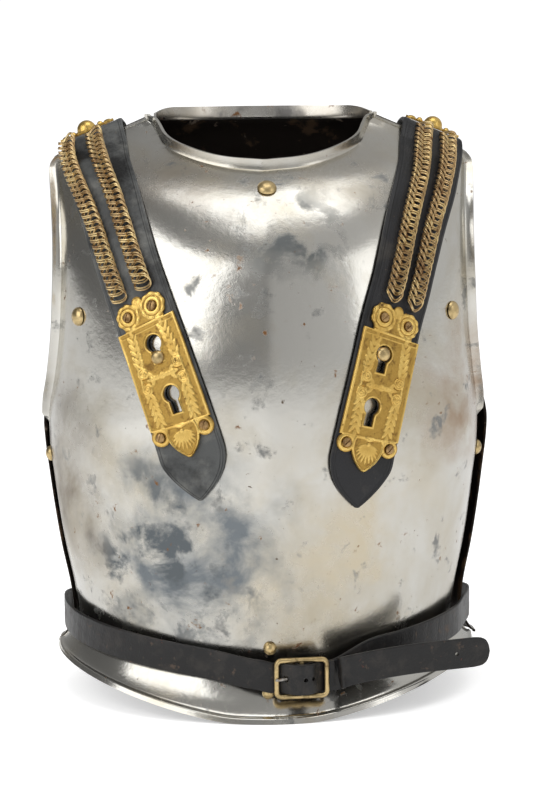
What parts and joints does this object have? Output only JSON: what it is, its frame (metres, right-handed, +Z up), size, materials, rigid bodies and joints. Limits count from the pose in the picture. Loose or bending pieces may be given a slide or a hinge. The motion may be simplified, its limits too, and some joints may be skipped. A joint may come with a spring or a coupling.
{
  "type": "cuirass",
  "caption": "Steel heavy cavalry cuirass: breastplate and backplate with brass studs, chained leather shoulder straps with gilt keyhole plates, and a buckled leather waist belt.",
  "frame": {"origin": "middle of the part's outline, on the ground that its skirt stands on", "axes": "+Z up towards the neck, +X towards the wearer's left arm, -Y the front of the breast, +Y the back"},
  "size_m": [0.3572, 0.2856, 0.4585],
  "materials": {
    "aged_brass": "dull, browned in the hollows",
    "belt_leather": "black, creased and scuffed",
    "brass": "worn polish",
    "dark_steel": "polished edge, blackened and flaking inside",
    "gilt_brass": "cast relief, bright gilding",
    "grey_steel": "worn",
    "polished_steel": "old polish with cloudy dark patches and fine pitting",
    "strap_leather": "grey-black, embossed border lines, worn edges"
  },
  "bodies": {
    "root": {"armhole_stud_left": "brass", "armhole_stud_right": "brass", "backplate": "dark_steel", "belt_guide_lower": "brass", "belt_guide_upper": "brass", "belt_long": "belt_leather", "belt_short": "belt_leather", "breastplate": "polished_steel", "buckle_frame": "brass", "buckle_tongue": "grey_steel", "chain_left_inner": "aged_brass", "chain_left_outer": "aged_brass", "chain_right_inner": "aged_brass", "chain_right_outer": "aged_brass", "keyhole_plate_left": "gilt_brass", "keyhole_plate_right": "gilt_brass", "neck_stud": "brass", "plate_screw_left_lower_inner": "aged_brass", "plate_screw_left_lower_outer": "aged_brass", "plate_screw_left_upper_inner": "aged_brass", "plate_screw_left_upper_outer": "aged_brass", "plate_screw_right_lower_inner": "aged_brass", "plate_screw_right_lower_outer": "aged_brass", "plate_screw_right_upper_inner": "aged_brass", "plate_screw_right_upper_outer": "aged_brass", "shoulder_boss_left": "gilt_brass", "shoulder_boss_right": "gilt_brass", "side_stud_left": "brass", "side_stud_right": "brass", "strap_leather_left": "strap_leather", "strap_leather_right": "strap_leather", "strap_stud_left": "brass", "strap_stud_right": "brass"}
  },
  "joints": []
}
